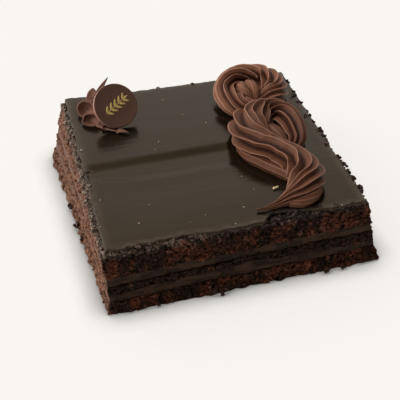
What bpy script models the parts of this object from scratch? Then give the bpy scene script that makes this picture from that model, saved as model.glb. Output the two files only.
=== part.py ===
"""Square slice of chocolate layer cake with piped chocolate swirls.

Metres, +Z up, the origin in the middle of the base. +X is the right-hand side
and -Y the front. Lengths below are in millimetres and are scaled by MM.
"""

import math

import bmesh
import bpy
from mathutils import Vector, noise

MM = 0.001
GAP = 0.3

# The block, cut by hand: corners of its base and of its top, front left,
# front right, back right, back left
BASE_CORNERS = ((-83.5, -87.4), (89.5, -86.2), (87.2, 84.3), (-89.5, 84.0))
TOP_CORNERS = ((-87.0, -87.8), (79.6, -83.0), (84.1, 82.3), (-79.9, 87.8))
BLOCK_HEIGHT = 44.4
GLAZE_THICKNESS = 1.5
GLAZE_SETBACK = 2.2

# Tops of the layers below the glaze as shares of the height, at the left side,
# in the middle and at the right side
LOWER_SPONGE_TOP = (0.175, 0.205, 0.215)
LOWER_FILLING_TOP = (0.285, 0.37, 0.30)
MIDDLE_SPONGE_TOP = (0.435, 0.49, 0.485)
UPPER_FILLING_TOP = (0.585, 0.60, 0.625)
LAYER_WAVE = 0.9
COLUMNS = 34

# Torn crumb on the cut sides, and how far the fillings stand back
CRUMB_RELIEF = 1.5
FILLING_RELIEF = 0.5
FILLING_SETBACK = 0.7

# Top of the glaze: the points along each edge, and its fold: where its crease
# runs and how high it is
GLAZE_GRID = 24
FOLD_Y = -19.5
FOLD_BEND = 9.0
FOLD_HEIGHT = 0.8

# One long sprinkle that lies on the glaze
SPRINKLE_PLACE = (30.3, -54.6)
SPRINKLE_LENGTH = 4.4
SPRINKLE_RADIUS = 0.9
SPRINKLE_HEADING = 12.0

# Star nozzle: bearings of its teeth in degrees, how deep the grooves between the
# ridges are and where each lies between its two ridges
NOZZLE_TEETH = (7.5, 42.5, 67.5, 112.5, 157.5, 202.5, 247.5, 292.5, 330.0)
TOOTH_WIDTH = 45.0
RIDGE_DEPTH = 0.42
CREST_SHARPNESS = 0.8
GROOVE_PLACE = 0.62
PIPING_BASE = BLOCK_HEIGHT + GAP

# Medallion
MEDALLION_RADIUS = 15.2
MEDALLION_THICKNESS = 3.4
MEDALLION_BEVEL = 0.5
MEDALLION_CENTRE = (-48.2, 48.2, 57.4)
MEDALLION_NORMAL = (0.12, -0.756, 0.644)

# Paths of the nozzle: x, y, z, half width and half height of the rope
SCROLL_PATH = (
    (54.0, -20.0, 48.0, 5.0, 4.5),
    (59.0, -12.0, 49.5, 8.0, 7.0),
    (61.0, 2.0, 51.5, 9.5, 8.5),
    (58.5, 14.5, 52.0, 11.0, 9.0),
    (49.0, 19.5, 52.0, 12.5, 9.0),
    (36.0, 11.5, 52.0, 14.0, 9.0),
    (30.5, -4.5, 52.0, 13.5, 9.0),
    (34.5, -19.0, 52.0, 12.5, 9.0),
    (43.0, -31.5, 52.0, 11.5, 9.0),
    (49.5, -44.0, 51.5, 12.0, 8.8),
    (49.0, -57.5, 51.0, 12.5, 8.2),
    (39.0, -68.0, 49.5, 8.0, 6.2),
    (27.5, -72.3, 47.5, 3.2, 3.2),
    (18.5, -73.8, 46.2, 1.3, 1.5),
    (11.5, -73.3, 45.6, 0.5, 0.7),
)
SCROLL_FEET = (
    (
        (25.5, 3.0, 47.2, 2.5, 2.5),
        (24.0, -8.5, 47.2, 4.6, 4.3),
        (26.0, -20.5, 47.0, 5.0, 4.4),
        (33.5, -33.0, 47.0, 5.2, 4.4),
        (40.5, -45.0, 47.5, 4.4, 4.6),
        (45.0, -54.0, 48.5, 4.5, 4.5),
    ),
    (
        (52.0, -50.0, 47.0, 3.0, 3.0),
        (53.5, -61.0, 47.0, 5.0, 4.5),
        (47.5, -70.5, 47.0, 5.2, 4.5),
        (38.5, -74.5, 46.8, 4.2, 3.6),
        (31.5, -74.0, 46.4, 1.8, 2.2),
    ),
)
ROSETTE_PATH = (
    (53.0, 34.0, 47.0, 3.0, 3.0),
    (45.5, 29.5, 49.5, 6.5, 6.0),
    (36.5, 32.5, 51.3, 8.8, 7.8),
    (32.5, 41.5, 52.0, 9.5, 8.5),
    (33.0, 54.5, 52.0, 9.5, 9.0),
    (40.5, 65.5, 52.5, 9.5, 9.0),
    (52.0, 69.5, 52.5, 10.0, 9.0),
    (63.5, 65.0, 52.0, 10.3, 9.0),
    (67.5, 54.5, 51.5, 10.0, 8.5),
    (65.0, 44.0, 51.0, 9.5, 8.0),
    (56.0, 38.5, 50.0, 6.5, 6.0),
    (48.0, 36.0, 49.0, 3.0, 3.0),
)
ROSETTE_HEART = (
    (
        (46.5, 56.0, 52.0, 1.0, 1.0),
        (43.8, 53.0, 54.2, 3.4, 4.2),
        (41.8, 47.5, 55.2, 4.4, 5.4),
        (42.6, 42.0, 54.4, 4.2, 5.6),
        (46.0, 37.0, 51.0, 2.4, 3.4),
        (48.5, 34.0, 49.0, 1.0, 1.4),
    ),
    (
        (46.5, 57.0, 52.0, 1.0, 1.0),
        (48.2, 53.0, 54.6, 3.2, 4.4),
        (49.6, 47.5, 55.6, 3.8, 5.6),
        (49.6, 42.0, 54.6, 3.6, 5.6),
        (49.0, 37.0, 51.0, 2.2, 3.4),
        (48.8, 34.0, 49.0, 1.0, 1.4),
    ),
)

# Ruffle: a low mound with hollow petals round it, each with the middle of its
# opening, the way it opens, half width, half height, depth and flare of its lower lip
RUFFLE_CENTRE = (-52.5, 60.0)
RUFFLE_MOUND = (14.5, 17.0, 7.5)
PETAL_WALL = 1.5
PETALS = (
    ((-66.8, 61.8, 50.6), (-0.50, -0.66, 0.56), 6.8, 6.0, 6.0, 0.15),
    ((-65.2, 50.3, 48.9), (-0.35, -0.78, 0.52), 6.0, 4.3, 5.5, 0.45),
    ((-54.0, 41.5, 46.9), (0.10, -0.80, 0.60), 5.8, 2.3, 4.5, 0.40),
    ((-60.2, 74.5, 51.5), (0.30, 0.90, 0.30), 3.9, 8.6, 2.2, 0.10),
    ((-40.0, 57.0, 50.0), (0.80, -0.10, 0.60), 5.0, 4.5, 5.0, 0.30),
    ((-41.0, 67.0, 50.5), (0.60, 0.60, 0.50), 5.0, 4.8, 5.0, 0.20),
    ((-50.5, 72.0, 50.5), (0.00, 0.85, 0.50), 5.4, 4.8, 5.0, 0.20),
)

# Thin petals that run out to a point: foot, tip, half of the width and bow
BLADES = (
    ((-59.0, 66.5, 47.0), (-48.5, 67.6, 69.2), (3.4, -2.2, 0.0), (-1.6, 1.2, 0.0)),
    ((-62.5, 46.5, 45.7), (-44.0, 31.6, 45.8), (0.5, 0.8, 0.7), (-0.8, -1.8, 0.2)),
    ((-50.5, 35.8, 45.3), (-43.2, 30.8, 45.8), (1.1, 2.0, 0.35), (0.0, 0.0, 0.8)),
)

COLOURS = {
    "sponge": (0.045, 0.016, 0.008, 1.0),
    "filling": (0.026, 0.013, 0.008, 1.0),
    "glaze": (0.050, 0.032, 0.021, 1.0),
    "piping": (0.080, 0.032, 0.018, 1.0),
    "medallion": (0.060, 0.030, 0.020, 1.0),
}


def clear_scene():
    for thing in list(bpy.data.objects):
        bpy.data.objects.remove(thing)


def make_collection(name):
    collection = bpy.data.collections.new(name)
    bpy.context.scene.collection.children.link(collection)
    return collection


def make_material(name, colour, roughness):
    material = bpy.data.materials.new(name)
    material.use_nodes = True
    shader = material.node_tree.nodes["Principled BSDF"]
    shader.inputs["Base Color"].default_value = colour
    shader.inputs["Roughness"].default_value = roughness
    shader.inputs["Metallic"].default_value = 0.0
    return material


def add_object(name, bm, collection, material=None):
    """Turn a mesh in millimetres into an object in metres."""
    bmesh.ops.recalc_face_normals(bm, faces=bm.faces[:])
    bmesh.ops.scale(bm, vec=(MM, MM, MM), verts=bm.verts[:])
    mesh = bpy.data.meshes.new(name)
    bm.to_mesh(mesh)
    bm.free()
    thing = bpy.data.objects.new(name, mesh)
    collection.objects.link(thing)
    if material is not None:
        mesh.materials.append(material)
    return thing


def as_cutter(thing):
    thing.hide_render = True
    thing.display_type = "WIRE"
    return thing


def add_boolean(thing, cutter, operation="DIFFERENCE"):
    modifier = thing.modifiers.new("cut", "BOOLEAN")
    modifier.operation = operation
    modifier.object = cutter
    return modifier


def corner_blend(corners, u, v):
    """Point of a four-cornered outline, u across and v from front to back."""
    front = Vector(corners[0]).lerp(Vector(corners[1]), u)
    back = Vector(corners[3]).lerp(Vector(corners[2]), u)
    return front.lerp(back, v)


def block_point(u, v, z):
    """Point of the block without relief at a height in millimetres."""
    base = corner_blend(BASE_CORNERS, u, v)
    top = corner_blend(TOP_CORNERS, u, v)
    flat = base.lerp(top, z / BLOCK_HEIGHT)
    return Vector((flat.x, flat.y, z))


def rough(point, size):
    """Smooth noise between about -1 and 1 with bumps of the given size."""
    return noise.noise(point / size)


def layer_height(shares, u, v):
    """Height of the boundary on top of a layer, with its slow waves."""
    left, middle, right = shares
    if u < 0.5:
        share = left + (middle - left) * 2.0 * u
    else:
        share = middle + (right - middle) * (2.0 * u - 1.0)
    level = share * BLOCK_HEIGHT
    place = Vector((160.0 * u, 160.0 * v, 5.0 * level))
    return level + LAYER_WAVE * rough(place, 19.0)


def side_relief(point, amount):
    """How far torn crumb stands out from the cut at a point."""
    return amount * (0.7 * rough(point, 13.0) + 0.9 * rough(point, 5.3))


def layer_mesh(rows, low, high, relief, setback):
    """One layer of the block: four rough sides and a lid above and below."""
    bm = bmesh.new()
    bmesh.ops.create_cube(bm, size=1.0)
    lids = [face for face in bm.faces if abs(face.normal.z) > 0.5]
    bmesh.ops.delete(bm, geom=lids, context="FACES_ONLY")
    upright = [edge for edge in bm.edges if abs(edge.verts[0].co.z - edge.verts[1].co.z) > 0.5]
    if rows > 1:
        bmesh.ops.subdivide_edges(bm, edges=upright, cuts=rows - 1, use_grid_fill=True)
    level = [edge for edge in bm.edges if abs(edge.verts[0].co.z - edge.verts[1].co.z) < 0.01]
    bmesh.ops.subdivide_edges(bm, edges=level, cuts=COLUMNS - 1, use_grid_fill=True)
    for end in (-0.5, 0.5):
        rim = [edge for edge in bm.edges if all(abs(vert.co.z - end) < 0.01 for vert in edge.verts)]
        lid = bmesh.ops.contextual_create(bm, geom=rim)["faces"]
        bmesh.ops.poke(bm, faces=lid)
    for vert in bm.verts:
        shape_layer_point(vert, low, high, relief, setback)
    return bm


def shape_layer_point(vert, low, high, relief, setback):
    """Move a point of the unit cube to its place in the block."""
    u, v, w = (value + 0.5 for value in vert.co)
    bottom = low(u, v)
    top = high(u, v)
    z = bottom + (top - bottom) * w
    if w < 0.01:
        z += 0.5 * GAP if bottom > 0.0 else 0.0
    if w > 0.99:
        z -= 0.5 * GAP
    point = block_point(u, v, z)
    across = (u > 0.999) - (u < 0.001)
    along = (v > 0.999) - (v < 0.001)
    if across or along:
        edge_share = min(w, 1.0 - w) * 2.0
        outward = side_relief(Vector((point.x, point.y, bottom + (top - bottom) * w)), relief)
        outward -= setback * (0.4 + 0.6 * edge_share)
        point.x += across * outward
        point.y += along * outward
    vert.co = point


def floor_level(u, v):
    return 0.0


def lid_level(u, v):
    return BLOCK_HEIGHT - GLAZE_THICKNESS


def boundary(shares):
    return lambda u, v: layer_height(shares, u, v)


def add_layers(collection, materials):
    """The three sponges and the two fillings between them, from the base up."""
    levels = [
        floor_level,
        boundary(LOWER_SPONGE_TOP),
        boundary(LOWER_FILLING_TOP),
        boundary(MIDDLE_SPONGE_TOP),
        boundary(UPPER_FILLING_TOP),
        lid_level,
    ]
    layers = (
        ("bottom_sponge", "sponge", 4),
        ("lower_filling", "filling", 1),
        ("middle_sponge", "sponge", 3),
        ("upper_filling", "filling", 1),
        ("top_sponge", "sponge", 5),
    )
    for index, (name, kind, rows) in enumerate(layers):
        crumbly = kind == "sponge"
        relief = CRUMB_RELIEF if crumbly else FILLING_RELIEF
        setback = 0.0 if crumbly else FILLING_SETBACK
        bm = layer_mesh(rows, levels[index], levels[index + 1], relief, setback)
        add_object(name, bm, collection, materials[kind])


def smooth_step(value, start, end):
    share = min(1.0, max(0.0, (value - start) / (end - start)))
    return share * share * (3.0 - 2.0 * share)


def glaze_fold(x, y):
    """The soft fold across the left part: it drops, and a crease lies in front of it."""
    crease = y - FOLD_Y - FOLD_BEND * smooth_step(-x, 40.0, 88.0)
    drop = 1.0 - smooth_step(crease, 15.0, 27.0)
    rise = 0.45 * (1.0 - smooth_step(crease, -2.2, 2.2))
    rise += 0.55 * (1.0 - smooth_step(crease, -45.0, -6.0))
    return FOLD_HEIGHT * (rise - drop) * (1.0 - smooth_step(x, 10.0, 40.0))


def glaze_wave(x, y):
    """Height of the fold and the ripples of the glaze, in millimetres."""
    ripple = 0.10 * noise.noise(Vector((x / 60.0, y / 16.0, 3.1)))
    swell = 0.20 * noise.noise(Vector((x / 90.0, y / 55.0, 9.0)))
    return glaze_fold(x, y) + ripple + swell


def glaze_mesh():
    """Slab of glaze: a grid that is extruded down and laid on the top sponge."""
    bm = bmesh.new()
    bmesh.ops.create_grid(bm, x_segments=GLAZE_GRID, y_segments=GLAZE_GRID, size=0.5)
    upper = bm.faces[:]
    sunk = bmesh.ops.extrude_face_region(bm, geom=upper)["geom"]
    lower = [item for item in sunk if isinstance(item, bmesh.types.BMVert)]
    low_points = set(lower)
    width = Vector(TOP_CORNERS[1]).x - Vector(TOP_CORNERS[0]).x
    inset = GLAZE_SETBACK / width
    for vert in bm.verts:
        u, v = vert.co.x + 0.5, vert.co.y + 0.5
        ragged = 0.5 * noise.noise(Vector((u * 23.0, v * 23.0, 7.7)))
        shrink = 1.0 - 2.0 * inset * (1.0 + ragged)
        place = block_point(0.5 + (u - 0.5) * shrink, 0.5 + (v - 0.5) * shrink, BLOCK_HEIGHT)
        if vert in low_points:
            vert.co = (place.x, place.y, BLOCK_HEIGHT - GLAZE_THICKNESS + 0.5 * GAP)
        else:
            vert.co = (place.x, place.y, BLOCK_HEIGHT + glaze_wave(place.x, place.y))
    rings = [face for face in bm.faces if all(vert in low_points for vert in face.verts)]
    bmesh.ops.dissolve_faces(bm, faces=rings)
    return bm


def sprinkle_mesh():
    """One rod with domed ends, sunk a little into the glaze."""
    bm = bmesh.new()
    bmesh.ops.create_uvsphere(bm, u_segments=8, v_segments=4, radius=SPRINKLE_RADIUS)
    straight = 0.5 * SPRINKLE_LENGTH - SPRINKLE_RADIUS
    for vert in bm.verts:
        vert.co = Vector((vert.co.z, vert.co.x, vert.co.y))
        vert.co.x += straight if vert.co.x > 0 else -straight
    turn = math.radians(SPRINKLE_HEADING)
    for vert in bm.verts:
        x, y, z = vert.co
        vert.co.x = SPRINKLE_PLACE[0] + x * math.cos(turn) - y * math.sin(turn)
        vert.co.y = SPRINKLE_PLACE[1] + x * math.sin(turn) + y * math.cos(turn)
        vert.co.z = BLOCK_HEIGHT + 0.6 * SPRINKLE_RADIUS + z
    return bm


def add_glaze(collection, toppings, material):
    """Glaze with its sprinkle joined on by one union."""
    glaze = add_object("glaze", glaze_mesh(), collection, material)
    add_object("sprinkle", sprinkle_mesh(), toppings)
    union = glaze.modifiers.new("toppings", "BOOLEAN")
    union.operation = "UNION"
    union.operand_type = "COLLECTION"
    union.collection = toppings
    bpy.context.view_layer.update()
    evaluated = glaze.evaluated_get(bpy.context.evaluated_depsgraph_get())
    joined = bpy.data.meshes.new_from_object(evaluated)
    glaze.modifiers.clear()
    glaze.data = joined
    for thing in list(toppings.objects):
        bpy.data.objects.remove(thing)
    return glaze


def smooth_path(points, steps):
    """Catmull-Rom curve through rows of numbers, with its rows as tuples."""
    rows = []
    last = len(points) - 1
    for index in range(last):
        corners = [points[max(0, min(last, index + shift))] for shift in (-1, 0, 1, 2)]
        for step in range(steps):
            rows.append(path_row(corners, step / steps))
    rows.append(tuple(points[last]))
    return rows


def path_row(corners, t):
    row = []
    for before, start, end, after in zip(*corners):
        row.append(0.5 * (
            2.0 * start
            + (end - before) * t
            + (2.0 * before - 5.0 * start + 4.0 * end - after) * t ** 2
            + (3.0 * start - before - 3.0 * end + after) * t ** 3
        ))
    return tuple(row)


def groove_depth(bearing):
    """Depth of the groove at a bearing on the nozzle: 0 on a ridge, 1 in the deepest."""
    before = max(tooth for tooth in (NOZZLE_TEETH[-1] - 360.0, *NOZZLE_TEETH) if tooth <= bearing)
    after = min(tooth for tooth in (*NOZZLE_TEETH, NOZZLE_TEETH[0] + 360.0) if tooth > bearing)
    share = (bearing - before) / (after - before)
    skewed = share ** (math.log(0.5) / math.log(GROOVE_PLACE))
    groove = math.sin(math.pi * skewed) ** CREST_SHARPNESS
    return groove * min(1.0, (after - before) / TOOTH_WIDTH)


def add_rope(bm, path, steps, around, depth, grow=0.0):
    """Rope from a star nozzle that is held upright and never turned.

    Each tooth keeps its bearing, so the ridges roll over the rope wherever the
    path bends, and run together at the middle of a bend and at the tail.
    """
    rows = smooth_path(path, steps)
    grooves = [groove_depth(360.0 * count / around) for count in range(around)]
    rings = []
    for index, (x, y, z, half_width, half_height) in enumerate(rows):
        ahead = Vector(rows[min(index + 1, len(rows) - 1)][:3])
        behind = Vector(rows[max(index - 1, 0)][:3])
        forward = (ahead - behind).normalized()
        heading = math.atan2(forward.y, forward.x)
        left = Vector((-math.sin(heading), math.cos(heading), 0.0))
        up = forward.cross(left)
        ring = []
        for count in range(around):
            turn = 2.0 * math.pi * count / around - heading
            reach = 1.0 - depth * grooves[count]
            side = left * math.sin(turn) * (half_width * reach + grow)
            rise = up * -math.cos(turn) * (half_height * reach + grow)
            ring.append(bm.verts.new(Vector((x, y, z)) + side + rise))
        rings.append(ring)
    for first, second in zip(rings, rings[1:]):
        for count in range(around):
            following = (count + 1) % around
            bm.faces.new((first[count], first[following], second[following], second[count]))
    bm.faces.new(rings[0])
    bm.faces.new(rings[-1])


def finish_piping(thing, voxel, triangles_share):
    """Join the crossing turns of a piped piece and thin out its faces."""
    remesh = thing.modifiers.new("join", "REMESH")
    remesh.mode = "VOXEL"
    remesh.voxel_size = voxel * MM
    remesh.use_smooth_shade = True
    thin = thing.modifiers.new("thin", "DECIMATE")
    thin.ratio = triangles_share
    thin.use_collapse_triangulate = True


def add_table(cutters, name, level):
    """Box whose top face trims what reaches below a level."""
    bm = bmesh.new()
    bmesh.ops.create_cube(bm, size=1.0)
    bmesh.ops.scale(bm, vec=(300.0, 300.0, 40.0), verts=bm.verts[:])
    bmesh.ops.translate(bm, vec=(0.0, 0.0, level - 20.0), verts=bm.verts[:])
    return as_cutter(add_object(name, bm, cutters))


def add_scroll(collection, cutters, table, material):
    bm = bmesh.new()
    add_rope(bm, SCROLL_PATH, 10, 96, RIDGE_DEPTH)
    for foot in SCROLL_FEET:
        add_rope(bm, foot, 6, 24, 0.0)
    scroll = add_object("scroll", bm, collection, material)
    finish_piping(scroll, 0.8, 0.042)
    add_boolean(scroll, table)
    swollen = bmesh.new()
    add_rope(swollen, SCROLL_PATH, 4, 24, 0.0, grow=0.8)
    guard = as_cutter(add_object("scroll_guard", swollen, cutters))
    finish_piping(guard, 1.2, 0.15)
    return guard


def add_rosette(collection, table, scroll_guard, material):
    bm = bmesh.new()
    add_rope(bm, ROSETTE_PATH, 10, 96, RIDGE_DEPTH)
    for lobe in ROSETTE_HEART:
        add_rope(bm, lobe, 6, 24, 0.0)
    rosette = add_object("rosette", bm, collection, material)
    finish_piping(rosette, 0.8, 0.048)
    add_boolean(rosette, table)
    add_boolean(rosette, scroll_guard)


def add_petal(bm, centre, facing, half_width, half_height, depth, lip):
    """One hollow petal of the ruffle: a bowl whose lower lip flares out."""
    across = 16
    upward = 5
    facing = Vector(facing).normalized()
    side = Vector((0.0, 0.0, 1.0)).cross(facing).normalized()
    up = facing.cross(side)
    grid = []
    for row in range(upward + 1):
        share = row / upward
        angle = 0.5 * math.pi * share
        ring = []
        for column in range(across + 1):
            sweep = 2.0 * math.pi * (column % across) / across
            flare = lip * max(0.0, -math.sin(sweep)) * share ** 4
            reach = max(0.05, math.sin(angle)) + flare
            point = Vector(centre) - facing * depth * (math.cos(angle) + 0.3 * flare)
            point += side * half_width * math.cos(sweep) * reach
            point += up * half_height * math.sin(sweep) * reach
            ring.append(point)
        grid.append(ring)
    return join_grid(bm, grid)


def add_blade(bm, foot, tip, side, bow):
    """A thin petal that bows out and narrows to a point."""
    across = 4
    along = 8
    foot, tip, side, bow = Vector(foot), Vector(tip), Vector(side), Vector(bow)
    cup = (tip - foot).cross(side).normalized() * 0.3 * side.length
    grid = []
    for row in range(along + 1):
        share = row / along
        middle = foot.lerp(tip, share) + bow * math.sin(math.pi * share)
        narrow = (1.0 - share) ** 0.8 + 0.08
        ring = []
        for column in range(across + 1):
            offset = 2.0 * column / across - 1.0
            ring.append(middle + (side * offset + cup * (1.0 - offset ** 2)) * narrow)
        grid.append(ring)
    return join_grid(bm, grid)


def join_grid(bm, grid):
    """Sheet through rows of points."""
    rows = [[bm.verts.new(point) for point in row] for row in grid]
    faces = []
    for lower, upper in zip(rows, rows[1:]):
        for count in range(len(lower) - 1):
            corners = (lower[count], lower[count + 1], upper[count + 1], upper[count])
            faces.append(bm.faces.new(corners))
    return faces


def ruffle_mesh(wall):
    """Petals as thickened sheets round a low mound."""
    bm = bmesh.new()
    for petal in PETALS:
        thicken_sheet(bm, add_petal(bm, *petal), wall)
    for blade in BLADES:
        thicken_sheet(bm, add_blade(bm, *blade), 0.8 * wall)
    mound = bmesh.ops.create_uvsphere(bm, u_segments=20, v_segments=10, radius=1.0)["verts"]
    bmesh.ops.scale(bm, vec=RUFFLE_MOUND, verts=mound)
    bmesh.ops.translate(bm, vec=(*RUFFLE_CENTRE, BLOCK_HEIGHT), verts=mound)
    return bm


def thicken_sheet(bm, faces, wall):
    bmesh.ops.recalc_face_normals(bm, faces=faces)
    bmesh.ops.solidify(bm, geom=faces, thickness=wall)


def add_ruffle(collection, cutters, table, material):
    """The folded ruffle, cleared for the medallion that is pressed into it."""
    ruffle = add_object("ruffle", ruffle_mesh(PETAL_WALL), collection, material)
    finish_piping(ruffle, 0.5, 0.024)
    add_boolean(ruffle, table)
    radius = MEDALLION_RADIUS + GAP
    thickness = MEDALLION_THICKNESS + 2.0 * GAP
    guard = add_object("medallion_guard", medallion_mesh(radius, thickness, 0.0), cutters)
    add_boolean(ruffle, as_cutter(guard))


def medallion_mesh(radius, thickness, bevel):
    """Upright disc, tilted back to its place against the ruffle."""
    bm = bmesh.new()
    bmesh.ops.create_cone(
        bm, cap_ends=True, segments=36, radius1=radius, radius2=radius, depth=thickness
    )
    if bevel > 0.0:
        rims = [edge for edge in bm.edges if abs(edge.verts[0].co.z - edge.verts[1].co.z) < 0.01]
        bmesh.ops.bevel(
            bm, geom=rims, offset=bevel, segments=1, affect="EDGES", profile=0.5
        )
    facing = Vector((0.0, 0.0, 1.0)).rotation_difference(Vector(MEDALLION_NORMAL).normalized())
    for vert in bm.verts:
        vert.co = facing @ vert.co + Vector(MEDALLION_CENTRE)
    return bm


def add_medallion(collection, table, material):
    bm = medallion_mesh(MEDALLION_RADIUS, MEDALLION_THICKNESS, MEDALLION_BEVEL)
    medallion = add_object("medallion", bm, collection, material)
    medallion.data.shade_smooth()
    medallion.data.set_sharp_from_angle(angle=math.radians(30.0))
    add_boolean(medallion, table)


def main():
    clear_scene()
    parts = make_collection("chocolate_cake_slice")
    cutters = make_collection("cutters")
    toppings = make_collection("toppings")
    materials = {
        "sponge": make_material("sponge", COLOURS["sponge"], 0.9),
        "filling": make_material("filling", COLOURS["filling"], 0.5),
        "glaze": make_material("glaze", COLOURS["glaze"], 0.35),
        "piping": make_material("piping", COLOURS["piping"], 0.5),
        "medallion": make_material("medallion", COLOURS["medallion"], 0.4),
    }
    add_layers(parts, materials)
    add_glaze(parts, toppings, materials["glaze"])
    table = add_table(cutters, "table", PIPING_BASE)
    guard = add_scroll(parts, cutters, table, materials["piping"])
    add_rosette(parts, table, guard, materials["piping"])
    add_ruffle(parts, cutters, table, materials["piping"])
    add_medallion(parts, table, materials["medallion"])


main()
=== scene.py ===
"""Looks of a square piece of chocolate layer cake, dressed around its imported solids.

Lengths are in millimetres, in the frame of the solids, and MM turns them into
metres. +X is the right-hand side, -Y the front and +Z up.
"""

import math

import bmesh
import bpy
import numpy as np
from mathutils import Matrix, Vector, noise

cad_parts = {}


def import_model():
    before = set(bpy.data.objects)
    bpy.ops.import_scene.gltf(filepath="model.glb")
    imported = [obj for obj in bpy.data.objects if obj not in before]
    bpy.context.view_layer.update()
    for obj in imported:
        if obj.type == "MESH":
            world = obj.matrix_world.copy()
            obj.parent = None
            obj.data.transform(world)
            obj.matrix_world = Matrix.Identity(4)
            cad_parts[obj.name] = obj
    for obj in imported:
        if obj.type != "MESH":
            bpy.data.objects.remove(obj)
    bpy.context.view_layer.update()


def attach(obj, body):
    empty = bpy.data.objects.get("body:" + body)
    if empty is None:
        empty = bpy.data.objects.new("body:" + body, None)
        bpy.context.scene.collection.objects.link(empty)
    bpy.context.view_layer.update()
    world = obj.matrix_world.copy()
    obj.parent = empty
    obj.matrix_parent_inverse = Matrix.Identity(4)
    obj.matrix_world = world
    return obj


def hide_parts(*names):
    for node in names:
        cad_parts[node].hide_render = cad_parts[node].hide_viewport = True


MM = 0.001

# Seed of the noise that bends crumbs and petals, so that every run gives the same
NOISE_SEED = 1

# The block, cut by hand: corners of its base and of its top, front left,
# front right, back right, back left
BASE_CORNERS = ((-83.5, -87.4), (89.5, -86.2), (87.2, 84.3), (-89.5, 84.0))
TOP_CORNERS = ((-87.0, -87.8), (79.6, -83.0), (85.4, 82.6), (-79.9, 87.8))
BLOCK_HEIGHT = 44.4
BLOCK_WIDTH = 170.0
GLAZE_THICKNESS = 1.5

# Layers from the base up: node, kind, about how high it is, and its top as shares of
# the height at the left side, in the middle and at the right side, or as a height
LAYERS = (
    ("bottom_sponge", "sponge", 8.5, (0.175, 0.205, 0.215)),
    ("lower_filling", "filling", 6.0, (0.285, 0.37, 0.30)),
    ("middle_sponge", "sponge", 6.0, (0.435, 0.49, 0.485)),
    ("upper_filling", "filling", 5.5, (0.585, 0.60, 0.625)),
    ("top_sponge", "sponge", 17.0, BLOCK_HEIGHT - GLAZE_THICKNESS),
)
LAYER_WAVE = 0.9
LAYER_TEAR = 0.6

# The foot spreads under the weight: how far at the front, right, back and left,
# and up to which height
FOOT_SPREAD = (3.0, -1.2, 0.5, 2.2)
FOOT_RISE = 11.0

# Relief of the cut sides, as in the solids, the mesh step of the finer crumb on top
# of it, and how steeply the lid of the top sponge falls away under the glaze
CRUMB_RELIEF = 1.5
FILLING_RELIEF = 0.5
FILLING_SETBACK = 0.7
CRUMB_STEP = 0.55
LID_SLOPE = 0.25

# Edges of a layer: rounding and reach inwards on top, then on its underside
EDGES = {
    "top_sponge": (1.6, 9.0, 0.5, 1.1),
    "sponge": (0.6, 1.1, 0.5, 1.1),
    "filling": (0.2, 1.1, 0.2, 1.1),
}

# Glaze: how far it stays back from the edges at the front, right, back and left,
# how ragged it is there, how much further back it stays at the left end of the
# front and in the bite by the scroll's tail, the lift of its back left corner, and
# the cells of its mesh along a side
GLAZE_SETBACKS = (0.5, 0.3, 0.1, 3.0)
GLAZE_RAGGED = (1.4, 0.6, 0.3, 1.1)
GLAZE_FRONT_LEFT = 2.8
GLAZE_BITE = 7.0
GLAZE_CORNER_LIFT = 1.3
GLAZE_CELLS = 230

# Fold of the glaze: where its crease runs and how high it is
FOLD_Y = -19.5
FOLD_BEND = 7.5
FOLD_HEIGHT = 1.5

# Star nozzle: bearings of its teeth in degrees, the usual width of a tooth, how deep
# the grooves are, how sharp the ridges are and where a groove lies between its two
# ridges; then how much a smooth rope counts as crest for the painted shade and highlight, and the
# grooves of a low rope
NOZZLE_TEETH = (7.5, 42.5, 67.5, 112.5, 157.5, 202.5, 247.5, 292.5, 330.0)
TOOTH_WIDTH = 45.0
RIDGE_DEPTH = 0.42
CREST_SHARPNESS = 0.8
GROOVE_PLACE = 0.62
CREST_REST = 0.91
FOOT_RIDGES = 0.07

# Medallion, and the gold sprig on it: its slope, length and pairs of leaves, and how
# long and wide a leaf is, how far it stands aside and its turn
MEDALLION_RADIUS = 15.2
MEDALLION_THICKNESS = 3.4
MEDALLION_CENTRE = (-48.2, 48.2, 57.4)
MEDALLION_NORMAL = (0.12, -0.756, 0.644)
SPRIG_SLOPE = 27.0
SPRIG_LENGTH = 18.0
SPRIG_PAIRS = 5
LEAF_LENGTH = 2.7
LEAF_WIDTH = 0.85
LEAF_ASIDE = 1.9
LEAF_TURN = 0.85

# One long sprinkle on the glaze
SPRINKLE_PLACE = (30.3, -54.6)
SPRINKLE_LENGTH = 4.4
SPRINKLE_RADIUS = 0.9
SPRINKLE_HEADING = 12.0

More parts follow.
